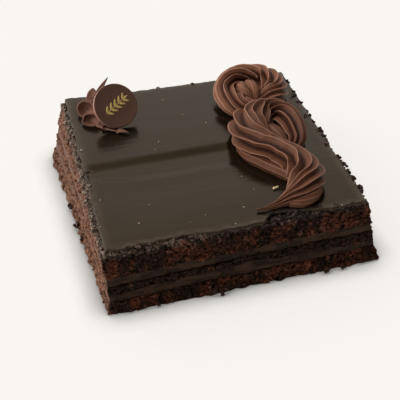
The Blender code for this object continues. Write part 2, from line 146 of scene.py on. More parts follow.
# Paths of the nozzle: x, y, z, half width and half height of the rope. Low ropes
# make the foot of the scroll, fill its curl and make the rosette's heart
SCROLL_PATH = (
    (54, -20, 48, 5, 4.5), (59, -12, 49.5, 8, 7), (61, 2, 51.5, 9.5, 8.5), (58.5, 14.5, 52, 11, 9),
    (49, 19.5, 52, 12.5, 9), (36, 11.5, 52, 14, 9), (30.5, -4.5, 52, 13.5, 9),
    (34.5, -19, 52, 12.5, 9), (43, -31.5, 52, 11.5, 9), (49.5, -44, 51.5, 12, 8.8),
    (49, -57.5, 51, 12.5, 8.2), (39, -68, 49.5, 8, 6.2), (27.5, -72.3, 47.5, 3.2, 3.2),
    (18.5, -73.8, 46.2, 1.3, 1.5), (11.5, -73.3, 45.6, 0.5, 0.7),
)
SCROLL_FEET = (
    (
        (25.5, 3, 47.2, 2.5, 2.5), (24, -8.5, 47.2, 4.6, 4.3), (26, -20.5, 47, 5, 4.4),
        (33.5, -33, 47, 5.2, 4.4), (40.5, -45, 47.5, 4.4, 4.6), (45, -54, 48.5, 4.5, 4.5),
    ),
    (
        (52, -50, 47, 3, 3), (53.5, -61, 47, 5, 4.5), (47.5, -70.5, 47, 5.2, 4.5),
        (38.5, -74.5, 46.8, 4.2, 3.6), (31.5, -74, 46.4, 1.8, 2.2),
    ),
    (
        (46, 9, 48, 3, 3), (47, 1, 49, 5.5, 5.5), (48.5, -9, 49.5, 5.5, 6),
        (51, -20, 47.5, 3, 3.5),
    ),
)
ROSETTE_PATH = (
    (53, 34, 47, 3, 3), (45.5, 29.5, 49.5, 6.5, 6), (36.5, 32.5, 51.3, 8.8, 7.8),
    (32.5, 41.5, 52, 9.5, 8.5), (33, 54.5, 52, 9.5, 9), (40.5, 65.5, 52.5, 9.5, 9),
    (52, 69.5, 52.5, 10, 9), (63.5, 65, 52, 10.3, 9), (67.5, 54.5, 51.5, 10, 8.5),
    (65, 44, 51, 9.5, 8), (56, 38.5, 50, 6.5, 6), (48, 36, 49, 3, 3),
)
ROSETTE_HEART = (
    (
        (46.5, 56, 52, 1, 1), (43.8, 53, 54.2, 3.4, 4.2), (41.8, 47.5, 55.2, 4.4, 5.4),
        (42.6, 42, 54.4, 4.2, 5.6), (46, 37, 51, 2.4, 3.4), (48.5, 34, 49, 1, 1.4),
    ),
    (
        (46.5, 57, 52, 1, 1), (48.2, 53, 54.6, 3.2, 4.4), (49.6, 47.5, 55.6, 3.8, 5.6),
        (49.6, 42, 54.6, 3.6, 5.6), (49, 37, 51, 2.2, 3.4), (48.8, 34, 49, 1, 1.4),
    ),
)

# Ruffle: a low mound with hollow petals round it, each with the middle of its
# opening, the way it opens, half width, half height, depth and flare of its lower lip
RUFFLE_CENTRE = (-52.5, 60.0)
RUFFLE_MOUND = (14.5, 17.0, 7.5)
PETAL_WALL = 1.3
PETALS = (
    ((-66.8, 61.8, 50.6), (-0.5, -0.66, 0.56), 6.8, 6, 6, 0.15),
    ((-65.2, 50.3, 48.9), (-0.35, -0.78, 0.52), 6, 4.3, 5.5, 0.45),
    ((-54, 41.5, 46.9), (0.1, -0.8, 0.6), 5.8, 2.3, 4.5, 0.4),
    ((-60.4, 73, 51.2), (-0.5, -0.6, 0.55), 4.2, 7.2, 1.4, 0.1),
    ((-40, 57, 50), (0.8, -0.1, 0.6), 5, 4.5, 5, 0.3),
    ((-41, 67, 50.5), (0.6, 0.6, 0.5), 5, 4.8, 5, 0.2),
    ((-50.5, 72, 50.5), (0, 0.85, 0.5), 5.4, 4.8, 5, 0.2),
)

# Thin petals that run out to a point: foot, tip, half of the width and bow
BLADES = (
    ((-59, 66.5, 47), (-48.5, 67.6, 69.2), (3.4, -2.2, 0), (-1.6, 1.2, 0)),
    ((-62.5, 46.5, 45.7), (-44, 31.6, 45.8), (0.5, 0.8, 0.7), (-0.8, -1.8, 0.2)),
    ((-50.5, 35.8, 45.3), (-43.2, 30.8, 45.8), (1.1, 2, 0.35), (0, 0, 0.8)),
)

# Pale crumbs and sugar specks on the glaze: x, y and size
SPECKS = (
    (-77.4, 21.3, 0.7), (-10.2, 67.1, 0.55), (-30.8, 7.7, 0.5), (-2, 44.8, 0.4),
    (-26.4, 16.9, 0.35), (-58.9, -64, 0.45), (-48.7, -48.4, 0.35), (-29.7, -72, 0.35),
    (-19, -67.7, 0.35), (-81.7, -61, 0.35), (5.2, -67.1, 0.45), (-4.4, -80.6, 0.4),
    (62.7, -81.9, 0.45), (17.1, -51.2, 0.35), (14.5, -35.4, 0.35), (10.7, 30.2, 0.4),
)

# Groups of redder crumb: x, y, z and how far they spread
RED_CRUMBS = (
    (-39, -87.6, 43.6, 1.1), (-36, -87.8, 42.4, 1.3), (-33, -88.2, 40.6, 0.9),
    (-26, -87.6, 43.6, 0.7), (-47.6, -88.2, 39.6, 0.9), (-61.7, -88, 11.4, 0.5),
    (-22.1, -88.2, 6.7, 1.1), (-16.8, -88, 40, 0.7), (-0.7, -88, 38.6, 0.8),
    (34.3, -87.6, 33.5, 0.9), (42.8, -87.6, 32.3, 0.8), (48.5, -87.4, 34.1, 0.8),
    (26.3, -88, 7.5, 0.8), (-14.2, -81.1, 44.6, 0.25), (25.3, -81.5, 44.6, 0.25),
)

# Torn clumps along the right edge, the back edge and the foot: x, y, z and spread
RIM_CLUMPS = (
    (83.5, 67, 43, 1.1), (83.1, 52, 43.2, 0.9), (82.9, 38, 43, 1), (82.7, 21, 42.8, 0.9),
    (82.1, 12, 42.8, 1), (82.1, -1, 42.8, 1.2), (81.7, -7, 42.4, 1.3), (80.9, -14, 42.4, 1.1),
    (81.5, -31, 42.6, 1.2), (81.5, -42, 42.4, 1.2), (81.1, -47, 42, 1.1), (80.7, -57, 42.4, 1.2),
    (80.9, -66, 42.2, 1.4), (80.5, -70.5, 41.8, 1.3), (79.1, -79, 41.8, 1.1),
    (-9.3, 85, 43.3, 0.8), (16.5, 83.6, 43.3, 1.1), (-89.4, 71.6, 4, 0.9), (-89.2, 16.8, 4, 0.9),
    (-88.8, -4.2, 3, 1.15), (-87.8, -19.4, 3, 0.95), (-21.2, -89.8, 3, 1.3),
    (-14.8, -90.6, 2.5, 1.3), (53.2, -90.6, 2.2, 1), (64.3, -90.8, 2, 1),
)

# Loose crumbs: how many on the side of each sponge, their mean and largest size, and
# how many along the top edge at the left, front and right, with their mean size
SIDE_CRUMBS = (340, 260, 500)
SIDE_CRUMB_SIZE = (0.52, 1.4)
RIM_CRUMBS = ((600, 0.52), (400, 0.55), (200, 0.70))

# Sponge: darker and lighter colour where it is red, smeared with ganache, painted lighter
# on the lit side, and both painted lighter (a grey sheen) and stained; the dark of the stain and
# its pale at the right and the left
RED_SPONGE = ((0.015, 0.0046, 0.0022), (0.172, 0.053, 0.026))
SMEARED_SPONGE = ((0.004, 0.0022, 0.0012), (0.031, 0.020, 0.014))
LIT_SIDE_SPONGE = ((0.115, 0.052, 0.032), (0.34, 0.175, 0.115))
LIT_SIDE_STAIN = ((0.040, 0.028, 0.022), (0.34, 0.275, 0.225))
STAIN_TONES = ((0.006, 0.004, 0.003), (0.088, 0.068, 0.057), (0.230, 0.165, 0.130))

# Heights at which the smeared middle sets in and ends, and at which the stain sets in
SMEARED_FROM = (12.5, 14.0)
SMEARED_TO = (21.5, 23.0)
STAINED_FROM = (39.5, 42.6)

# Piped cream: the painted shade in its grooves, its darker and lighter body and the painted
# highlight on its crests
SCROLL_TONES = (
    (0.024, 0.008, 0.004), (0.106, 0.042, 0.022), (0.152, 0.064, 0.037), (0.36, 0.184, 0.124)
)
ROSETTE_TONES = (
    (0.032, 0.010, 0.006), (0.165, 0.066, 0.037), (0.232, 0.101, 0.060), (0.50, 0.265, 0.180)
)
RUFFLE_TONES = (
    (0.035, 0.014, 0.009), (0.165, 0.078, 0.053), (0.225, 0.112, 0.080), (0.36, 0.20, 0.15)
)

# Groups of crumb, gold and sugar: their darker and their lighter colour
RED_TONES = ((0.030, 0.010, 0.006), (0.20, 0.075, 0.046))
TORN_TONES = ((0.007, 0.003, 0.002), (0.075, 0.027, 0.014))
SPRINKLE_TONES = ((0.62, 0.40, 0.17), (0.90, 0.76, 0.52))
GOLD_TONES = ((0.50, 0.33, 0.09), (0.80, 0.58, 0.20))
SPECK_TONES = ((0.42, 0.33, 0.22), (0.85, 0.78, 0.64))

# Camera, from the corners of the block in the photograph
CAMERA_PLACE = (-143.85, -477.93, 382.03)
CAMERA_TARGET = (-7.9, -18.09, 17.0)
CAMERA_LENS = 82.26

# Studio light: direction, how narrow it is and its strength. Floor: its size, colour
# and own glow, and its painted contact shadow: how near a thing dims that glow and the share that
# is left beside it
LIGHT_COLOUR = (1.0, 0.965, 0.915)
AMBIENT_LIGHT = 0.14
KEY_LIGHT = ((-0.76, 0.34, 0.55), 3.0, 3.0)
BACK_LIGHT = ((0.36, 0.78, 0.57), 11.0, 1.03)
FLOOR_HALF_SIDE = 1800.0
FLOOR_COLOUR = (0.17, 0.169, 0.169)
FLOOR_GLOW = (0.794, 0.770, 0.734)
CONTACT_REACH = 18.0
CONTACT_GLOW = 0.25


def corner_blend(corners, u, v):
    """Point of a four-cornered outline, u across and v from front to back."""
    front = Vector(corners[0]).lerp(Vector(corners[1]), u)
    back = Vector(corners[3]).lerp(Vector(corners[2]), u)
    return front.lerp(back, v)


def block_point(u, v, z):
    """Point of the block without relief at a height in millimetres."""
    base = corner_blend(BASE_CORNERS, u, v)
    top = corner_blend(TOP_CORNERS, u, v)
    flat = base.lerp(top, z / BLOCK_HEIGHT)
    return Vector((flat.x, flat.y, z))


def rough(point, size):
    """Smooth noise between about -1 and 1 with bumps of the given size."""
    return noise.noise(point / size)


def layer_height(top, u, v):
    """Height of the top of a layer with its waves and tears, or a level height."""
    if isinstance(top, float):
        return top
    left, middle, right = top
    if u < 0.5:
        share = left + (middle - left) * 2.0 * u
    else:
        share = middle + (right - middle) * (2.0 * u - 1.0)
    level = share * BLOCK_HEIGHT
    place = Vector((160.0 * u, 160.0 * v, 5.0 * level))
    tear = LAYER_TEAR * (rough(place, 2.6) + rough(place, 6.5))
    return level + LAYER_WAVE * rough(place, 19.0) + tear


def side_relief(point, amount):
    """How far torn crumb stands out from the cut at a point."""
    return amount * (0.7 * rough(point, 13.0) + 0.9 * rough(point, 5.3))


def smooth_step(value, start, end):
    share = min(1.0, max(0.0, (value - start) / (end - start)))
    return share * share * (3.0 - 2.0 * share)


def foot_spread(way, z):
    """How far the side stands out at a height because the foot spreads."""
    front, right, back, left = FOOT_SPREAD
    spread = front * max(0.0, -way.y) + back * max(0.0, way.y)
    spread += left * max(0.0, -way.x) + right * max(0.0, way.x)
    return spread * (1.0 - smooth_step(z, 0.0, FOOT_RISE))


def make_mesh(name, points, faces, smooth=True):
    """Mesh object from points in millimetres."""
    mesh = bpy.data.meshes.new(name)
    mesh.from_pydata([tuple(point) for point in np.asarray(points) * MM], [], faces)
    mesh.validate()
    if smooth:
        mesh.shade_smooth()
    thing = bpy.data.objects.new(name, mesh)
    bpy.context.scene.collection.objects.link(thing)
    return thing


def add_attribute(thing, name, values):
    """One number for each point of the mesh, for the material to read."""
    layer = thing.data.attributes.new(name, "FLOAT", "POINT")
    layer.data.foreach_set("value", np.asarray(values, np.float32))


def tube_faces(rings, around, first=0):
    """Quads between closed rings of points that follow each other, and both ends."""
    faces = []
    last = first + (rings - 1) * around
    for start in range(first, last, around):
        following = start + around
        for count in range(around):
            nxt = (count + 1) % around
            faces.append((start + count, start + nxt, following + nxt, following + count))
    faces.append(tuple(range(first + around - 1, first - 1, -1)))
    faces.append(tuple(range(last, last + around)))
    return faces


def layer_profile(height, step, top_round, top_reach, low_round, low_reach):
    """Edge of a layer from its underside to its top.

    Each row is inset, share of the height, offset in height and the outward
    and upward parts of the normal.
    """
    rows = []
    for count in range(int(low_reach / step), 0, -1):
        rows.append((low_round + count * step, 0.0, 0.0, 0.0, -1.0))
    turns = max(2, int(1.57 * low_round / step))
    for count in range(turns):
        angle = 0.5 * math.pi * (1.0 - count / turns)
        inset = low_round * (1.0 - math.cos(angle))
        rise = low_round * (1.0 - math.sin(angle))
        rows.append((inset, 0.0, rise, math.cos(angle), -math.sin(angle)))
    upright = max(3, int((height - top_round - low_round) / step))
    for count in range(upright + 1):
        share = count / upright
        shift = low_round * (1.0 - share) - top_round * share
        rows.append((0.0, share, shift, 1.0, 0.0))
    turns = max(2, int(1.57 * top_round / step))
    for count in range(1, turns + 1):
        angle = 0.5 * math.pi * count / turns
        inset = top_round * (1.0 - math.cos(angle))
        drop = -top_round * (1.0 - math.sin(angle))
        rows.append((inset, 1.0, drop, math.cos(angle), math.sin(angle)))
    for count in range(1, int(top_reach / step) + 1):
        rows.append((top_round + count * step, 1.0, 0.0, 0.0, 1.0))
    return rows


def side_places(step):
    """Round the block once: (u, v) of each column and the way out of its side."""
    per_side = int(BLOCK_WIDTH / step)
    places = []
    corners = ((0.0, 0.0), (1.0, 0.0), (1.0, 1.0), (0.0, 1.0))
    ways = ((0.0, -1.0), (1.0, 0.0), (0.0, 1.0), (-1.0, 0.0))
    for side in range(4):
        (u0, v0), (u1, v1) = corners[side], corners[(side + 1) % 4]
        for count in range(per_side):
            share = count / per_side
            way = Vector(ways[side])
            if count == 0:
                way = (way + Vector(ways[side - 1])) * 0.72
            places.append((u0 + (u1 - u0) * share, v0 + (v1 - v0) * share, way))
    return places


def crumb_depth(point):
    """Fine relief of torn sponge: clumps, the clefts between them and open pores."""
    bent = point + 0.8 * noise.noise_vector(point / 2.0)
    clumps = noise.voronoi(bent / 3.6)[0][0]
    grains = noise.voronoi(bent / 1.5 + Vector((7.0, 3.0, 1.0)))[0][0]
    pores = noise.voronoi(bent / 5.0 + Vector((1.0, 9.0, 4.0)))[0][0]
    depth = 1.3 * (0.45 - clumps) + 1.1 * (0.45 - grains) + 0.25 * noise.noise(point / 0.8)
    if pores < 0.27:
        depth -= 7.0 * (0.27 - pores)
    return depth


def filling_depth(point):
    """Fine relief of a cut filling: smears of the knife and a few torn spots."""
    smear = noise.noise(Vector((point.x / 9.0, point.y / 9.0, point.z / 0.9)))
    torn = noise.voronoi(point / 4.2)[0][0]
    depth = 0.22 * smear + 0.12 * noise.noise(point / 1.1)
    if torn < 0.16:
        depth -= 2.0 * (0.16 - torn)
    return depth


def painted_side_light(way):
    """Share of painted light on the cut: 1 on the lit left side, 0 on the shaded front and about a
    third elsewhere.
    """
    return min(1.0, max(0.0, -way.x) + 0.35 * (max(0.0, way.x) + max(0.0, way.y)))


def build_layer(name, kind, nominal, below, above):
    """One layer as a fine closed mesh, and its points, outward ways and painted side light."""
    crumbly = kind == "sponge"
    relief = CRUMB_RELIEF if crumbly else FILLING_RELIEF
    setback = 0.0 if crumbly else FILLING_SETBACK
    profile = layer_profile(nominal, CRUMB_STEP, *EDGES.get(name, EDGES[kind]))
    places = side_places(CRUMB_STEP)
    edges = [(*place, layer_height(below, *place[:2]), layer_height(above, *place[:2]))
             for place in places]
    points, ways, depths, side_light_shares = [], [], [], []
    for inset, share, shift, out, up in profile:
        shrink = 1.0 - 2.0 * inset / BLOCK_WIDTH
        for u, v, way, bottom, top in edges:
            z = bottom + (top - bottom) * share + shift
            if name == "top_sponge" and up > 0.0:
                z -= LID_SLOPE * max(0.0, inset - 3.0)
            across, along = 0.5 + (u - 0.5) * shrink, 0.5 + (v - 0.5) * shrink
            base = block_point(across, along, z)
            coarse = side_relief(Vector((base.x, base.y, z)), relief) - setback
            coarse += foot_spread(way, z)
            depth = crumb_depth(base) if crumbly else filling_depth(base)
            if up and z < 3.0:
                depth *= 0.2
            direction = Vector((way.x * out, way.y * out, up))
            edge = math.exp(-inset / 3.0)
            place = base + Vector((way.x, way.y, 0.0)) * coarse * edge + direction * depth
            place.z = max(place.z, 0.0)
            points.append(place)
            ways.append(direction)
            depths.append(depth)
            # Painted light: how much lighter the cut is painted, by how the light falls on its
            # side
            side_light_shares.append(painted_side_light(way))
    faces = tube_faces(len(profile), len(places))
    thing = make_mesh(name + "_crumb" if crumbly else name + "_cut", points, faces)
    add_attribute(thing, "relief", depths)
    add_attribute(thing, "side_lit", side_light_shares)
    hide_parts(name)
    return thing, (np.array(points), np.array(ways), np.array(side_light_shares))


def glaze_setback(side, share):
    """How far the glaze stays back from an edge, as a share of the block's width."""
    ragged = 0.9 * noise.noise(Vector((share * 26.0, side * 5.0, 0.0)))
    ragged += 0.6 * noise.noise(Vector((share * 75.0, side * 5.0, 4.0)))
    level = GLAZE_SETBACKS[side]
    if side == 0:
        level += GLAZE_FRONT_LEFT * (1.0 - smooth_step(share, 0.28, 0.46))
        bite = smooth_step(share, 0.575, 0.64) * (1.0 - smooth_step(share, 0.64, 0.88))
        level += GLAZE_BITE * bite
    return max(-0.6, level + GLAZE_RAGGED[side] * ragged) / BLOCK_WIDTH


def glaze_fold(x, y):
    """The soft fold across the left part: it drops, and a crease lies in front of it."""
    crease = y - FOLD_Y - FOLD_BEND * smooth_step(-x, 40.0, 88.0)
    drop = 1.0 - smooth_step(y, -5.0, 5.0)
    rise = 0.40 * (1.0 - smooth_step(crease, -4.0, 4.0))
    rise += 0.60 * (1.0 - smooth_step(crease, -45.0, -6.0))
    return FOLD_HEIGHT * (rise - drop) * (1.0 - smooth_step(x, 10.0, 40.0))


def glaze_wave(x, y):
    """Height of the folds and ripples of the glaze, in millimetres."""
    ripple = 0.10 * noise.noise(Vector((x / 60.0, y / 16.0, 3.1)))
    swell = 0.20 * noise.noise(Vector((x / 90.0, y / 55.0, 9.0)))
    streak = 0.035 * noise.noise(Vector((x / 20.0, y / 2.6, 5.0)))
    return glaze_fold(x, y) + ripple + swell + streak


def build_glaze():
    """The glaze: a fine sheet with soft folds, a rounded ragged edge and a thick lip."""
    count = GLAZE_CELLS
    points, edges = [], []
    for row in range(count + 1):
        t = row / count
        for column in range(count + 1):
            s = column / count
            left, right = glaze_setback(3, t), glaze_setback(1, t)
            front, back = glaze_setback(0, s), glaze_setback(2, s)
            u = left + (1.0 - left - right) * s
            v = front + (1.0 - front - back) * t
            flat = block_point(u, v, BLOCK_HEIGHT)
            edge = min(row, column, count - row, count - column) * BLOCK_WIDTH / count
            lip = 1.0 - smooth_step(edge, 0.0, 1.1)
            near = 1.0 - smooth_step(edge, 0.0, 4.0)
            z = BLOCK_HEIGHT - 0.05 + glaze_wave(flat.x, flat.y) * (1.0 - near)
            z += GLAZE_CORNER_LIFT * (1.0 - smooth_step(u, 0.02, 0.26)) * smooth_step(v, 0.78, 1.0)
            z += near * 0.45 * noise.noise(Vector((flat.x / 5.0, flat.y / 5.0, 1.0)))
            z -= 0.5 * lip ** 2
            points.append((flat.x, flat.y, z))
            # Painted highlight: the glaze is painted lighter toward its lip and on its edge wall
            edges.append(1.0 - smooth_step(edge, 0.8, 6.5))
    wide = count + 1
    faces = []
    for row in range(count):
        for column in range(count):
            start = row * wide + column
            faces.append((start, start + 1, start + wide + 1, start + wide))
    rim = list(range(count))
    rim += [row * wide + count for row in range(count)]
    rim += [count * wide + column for column in range(count, 0, -1)]
    rim += [row * wide for row in range(count, 0, -1)]
    first = len(points)
    for index in rim:
        x, y, z = points[index]
        points.append((x, y, BLOCK_HEIGHT - GLAZE_THICKNESS - 0.7))
        edges.append(1.0)
    for place, index in enumerate(rim):
        nxt = (place + 1) % len(rim)
        faces.append((rim[nxt], index, first + place, first + nxt))
    faces.append(tuple(first + index for index in range(len(rim) - 1, -1, -1)))
    thing = make_mesh("glaze_sheet", points, faces)
    add_attribute(thing, "edge", edges)
    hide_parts("glaze")
    return thing


def smooth_path(points, steps):
    """Smooth curve through rows of numbers, with its rows as tuples."""
    rows = []
    last = len(points) - 1
    for index in range(last):
        corners = [points[max(0, min(last, index + shift))] for shift in (-1, 0, 1, 2)]
        for step in range(steps):
            rows.append(path_row(corners, step / steps))
    rows.append(tuple(points[last]))
    return rows


def path_row(corners, t):
    """Row at a share of the way between the middle two of four rows, on their spline."""
    row = []
    for before, start, end, after in zip(*corners):
        row.append(0.5 * (
            2.0 * start
            + (end - before) * t
            + (2.0 * before - 5.0 * start + 4.0 * end - after) * t ** 2
            + (3.0 * start - before - 3.0 * end + after) * t ** 3
        ))
    return tuple(row)


def groove_depth(bearing):
    """Depth of the groove at a bearing on the nozzle: 0 on a ridge, 1 in the deepest."""
    before = max(tooth for tooth in (NOZZLE_TEETH[-1] - 360.0, *NOZZLE_TEETH) if tooth <= bearing)
    after = min(tooth for tooth in (*NOZZLE_TEETH, NOZZLE_TEETH[0] + 360.0) if tooth > bearing)
    share = (bearing - before) / (after - before)
    skewed = share ** (math.log(0.5) / math.log(GROOVE_PLACE))
    groove = math.sin(math.pi * skewed) ** CREST_SHARPNESS
    groove *= 1.0 - 0.12 * math.exp(-((share - 0.30) / 0.07) ** 2)
    return groove * min(1.0, (after - before) / TOOTH_WIDTH)


def rope_points(path, steps, around, depth):
    """Points of a rope from a star nozzle that is held upright and never turned.

    Each tooth keeps its bearing, so the ridges roll over the rope wherever the
    path bends, and run together at the middle of a bend and at the tail. The
    second list tells how near each point is to the crest of a ridge, which sets the painted shade
    and highlight of the cream.
    """
    rows = smooth_path(path, steps)
    grooves = [groove_depth(360.0 * count / around) for count in range(around)]
    points, crests = [], []
    for index, (x, y, z, half_width, half_height) in enumerate(rows):
        ahead = Vector(rows[min(index + 1, len(rows) - 1)][:3])
        behind = Vector(rows[max(index - 1, 0)][:3])
        forward = (ahead - behind).normalized()
        heading = math.atan2(forward.y, forward.x)
        left = Vector((-math.sin(heading), math.cos(heading), 0.0))
        up = forward.cross(left)
        for count in range(around):
            tooth = 2.0 * math.pi * count / around
            turn = tooth - heading
            reach = 1.0 - depth * grooves[count]
            side = left * math.sin(turn) * half_width * reach
            rise = up * -math.cos(turn) * half_height * reach
            place = Vector((x, y, z)) + side + rise
            out = (side + rise).normalized()
            place += out * 0.22 * noise.noise(place / 4.0)
            place += out * 0.05 * noise.noise(place / 1.1)
            points.append(place)
            crest = 1.0 - grooves[count]
            crests.append(CREST_REST + (crest - CREST_REST) * min(1.0, 4.0 * depth))
    return points, crests, len(rows)


def build_piping(name, node, ropes):
    """One piped piece made of one or more ropes."""
    points, crests, faces = [], [], []
    for path, steps, around, depth in ropes:
        some, near, rings = rope_points(path, steps, around, depth)
        faces += tube_faces(rings, around, len(points))
        points += some
        crests += near
    thing = make_mesh(name, points, faces)
    add_attribute(thing, "crest", crests)
    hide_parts(node)
    return thing


def add_petal(bm, centre, facing, half_width, half_height, depth, lip):
    """One hollow petal of the ruffle: a bowl whose lower lip flares out."""
    across = 28
    upward = 8
    facing = Vector(facing).normalized()
    side = Vector((0.0, 0.0, 1.0)).cross(facing).normalized()
    up = facing.cross(side)
    grid = []
    for row in range(upward + 1):
        share = row / upward
        angle = 0.5 * math.pi * share
        ring = []
        for column in range(across + 1):
            sweep = 2.0 * math.pi * (column % across) / across
            flare = lip * max(0.0, -math.sin(sweep)) * share ** 4
            flute = 0.018 * share * math.cos(7.0 * sweep)
            reach = max(0.05, math.sin(angle)) + flare + flute
            point = Vector(centre) - facing * depth * (math.cos(angle) + 0.3 * flare)
            point += side * half_width * math.cos(sweep) * reach
            point += up * half_height * math.sin(sweep) * reach
            point += 0.7 * share * noise.noise_vector(point / 4.5)
            ring.append(point)
        grid.append(ring)
    return join_grid(bm, grid)


def add_blade(bm, foot, tip, side, bow):
    """A thin petal that bows out and narrows to a point."""
    across = 8
    along = 14
    foot, tip, side, bow = Vector(foot), Vector(tip), Vector(side), Vector(bow)
    cup = (tip - foot).cross(side).normalized() * 0.3 * side.length
    grid = []
    for row in range(along + 1):
        share = row / along
        middle = foot.lerp(tip, share) + bow * math.sin(math.pi * share)
        narrow = (1.0 - share) ** 0.8 + 0.08
        ring = []
        for column in range(across + 1):
            offset = 2.0 * column / across - 1.0
            ring.append(middle + (side * offset + cup * (1.0 - offset ** 2)) * narrow)
        grid.append(ring)
    return join_grid(bm, grid)


def join_grid(bm, grid):
    """Sheet through rows of points."""
    rows = [[bm.verts.new(point) for point in row] for row in grid]
    faces = []
    for lower, upper in zip(rows, rows[1:]):
        for count in range(len(lower) - 1):
            corners = (lower[count], lower[count + 1], upper[count + 1], upper[count])
            faces.append(bm.faces.new(corners))
    return faces


def object_from_bmesh(name, bm):
    bmesh.ops.recalc_face_normals(bm, faces=bm.faces[:])
    bmesh.ops.scale(bm, vec=(MM, MM, MM), verts=bm.verts[:])
    mesh = bpy.data.meshes.new(name)
    bm.to_mesh(mesh)
    bm.free()
    mesh.shade_smooth()
    thing = bpy.data.objects.new(name, mesh)
    bpy.context.scene.collection.objects.link(thing)
    return thing


def build_ruffle():
    """Hollow petals and thin pointed ones round a low mound."""
    bm = bmesh.new()
    for petal in PETALS:
        faces = add_petal(bm, *petal)
        bmesh.ops.recalc_face_normals(bm, faces=faces)
        bmesh.ops.solidify(bm, geom=faces, thickness=PETAL_WALL)
    for blade in BLADES:
        faces = add_blade(bm, *blade)
        bmesh.ops.recalc_face_normals(bm, faces=faces)
        bmesh.ops.solidify(bm, geom=faces, thickness=0.8 * PETAL_WALL)
    mound = bmesh.ops.create_uvsphere(bm, u_segments=40, v_segments=20, radius=1.0)["verts"]
    bmesh.ops.scale(bm, vec=RUFFLE_MOUND, verts=mound)
    bmesh.ops.translate(bm, vec=(*RUFFLE_CENTRE, BLOCK_HEIGHT), verts=mound)
    thing = object_from_bmesh("ruffle_piped", bm)
    add_attribute(thing, "crest", np.full(len(thing.data.vertices), 0.7))
    rounding = thing.modifiers.new("rounding", "SUBSURF")
    rounding.levels = 1
    rounding.render_levels = 1
    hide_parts("ruffle")
    return thing


def build_medallion():
    """Moulded disc with a rounded rim and a slight dish in its face."""
    bm = bmesh.new()
    half = 0.5 * MEDALLION_THICKNESS
    profile = [(0.0, half - 0.12), (0.5 * MEDALLION_RADIUS, half - 0.12)]
    profile += [(MEDALLION_RADIUS - 1.3, half - 0.12), (MEDALLION_RADIUS - 0.9, half)]
    for curve, steps, start, level in ((0.5, 7, 90.0, half - 0.5), (0.4, 5, 0.0, 0.4 - half)):
        for step in range(steps):
            angle = math.radians(start - 90.0 * step / (steps - 1))
            out = MEDALLION_RADIUS - curve + curve * math.cos(angle)
            profile.append((out, level + curve * math.sin(angle)))
    profile.append((0.0, -half))
    points = [Vector((radius, 0.0, height)) for radius, height in profile]
    verts = [bm.verts.new(point) for point in points]
    edges = [bm.edges.new(pair) for pair in zip(verts, verts[1:])]
    bmesh.ops.spin(
        bm, geom=verts + edges, cent=(0.0, 0.0, 0.0), axis=(0.0, 0.0, 1.0),
        angle=2.0 * math.pi, steps=96, use_duplicate=False,
    )
    bmesh.ops.remove_doubles(bm, verts=bm.verts[:], dist=0.001)
    rim = MEDALLION_RADIUS
    # Paler rim wall: partly scuffed bloom, partly a painted sheen
    rim_bloom_and_sheen = [smooth_step(vert.co.xy.length, rim - 0.4, rim) for vert in bm.verts]
    for vert in bm.verts:
        vert.co = on_medallion(vert.co)
    thing = object_from_bmesh("chocolate_disc", bm)
    add_attribute(thing, "rim_bloom_and_sheen", rim_bloom_and_sheen)
    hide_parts("medallion")
    return thing


def on_medallion(point):
    """From the medallion's own place, face up, to where it leans."""
    normal = Vector(MEDALLION_NORMAL).normalized()
    right = Vector((0.0, 0.0, 1.0)).cross(normal).normalized()
    up = normal.cross(right)
    return Vector(MEDALLION_CENTRE) + right * point[0] + up * point[1] + normal * point[2]


def build_sprig():
    """A plain gold sprig with paired leaves on the face of the medallion."""
    bm = bmesh.new()
    height = 0.5 * MEDALLION_THICKNESS
    slope = math.radians(SPRIG_SLOPE)
    along = Vector((math.cos(slope), math.sin(slope)))
    across = Vector((-along.y, along.x))
    leaves = [(0.0, 0.0, 0.0, 0.55 * SPRIG_LENGTH, 0.28), (0.5 * SPRIG_LENGTH, 0.0, 0.0, 2.2, 0.8)]
    for count in range(SPRIG_PAIRS):
        place = SPRIG_LENGTH * ((count + 0.5) / SPRIG_PAIRS - 0.5)
        size = LEAF_LENGTH - 0.8 * abs(place) / SPRIG_LENGTH
        for way in (-1.0, 1.0):
            leaves.append((place + 0.9, way * LEAF_ASIDE, way * LEAF_TURN, size, LEAF_WIDTH))
    for place, aside, turn, half_length, half_width in leaves:
        ball = bmesh.ops.create_uvsphere(bm, u_segments=16, v_segments=8, radius=1.0)["verts"]
        for vert in ball:
            x = vert.co.x * half_length
            y = vert.co.y * half_width * (1.0 - 0.35 * vert.co.x)
            x, y = x * math.cos(turn) - y * math.sin(turn), x * math.sin(turn) + y * math.cos(turn)
            flat = along * (place + x) + across * (aside + y)
            vert.co = on_medallion((flat.x, flat.y, height - 0.12 + 0.25 * vert.co.z))
    return object_from_bmesh("gold_sprig", bm)


def build_sprinkle():
    """A short rod with round ends."""
    bm = bmesh.new()
    bmesh.ops.create_uvsphere(bm, u_segments=20, v_segments=12, radius=SPRINKLE_RADIUS)
    straight = 0.5 * SPRINKLE_LENGTH - SPRINKLE_RADIUS
    turn = math.radians(SPRINKLE_HEADING)
    for vert in bm.verts:
        x, y, z = vert.co.z, vert.co.x, vert.co.y
        x += straight if x > 0.0 else -straight
        vert.co.x = SPRINKLE_PLACE[0] + x * math.cos(turn) - y * math.sin(turn)
        vert.co.y = SPRINKLE_PLACE[1] + x * math.sin(turn) + y * math.cos(turn)
        vert.co.z = BLOCK_HEIGHT + 0.6 * SPRINKLE_RADIUS + z
    return object_from_bmesh("gold_sprinkle", bm)


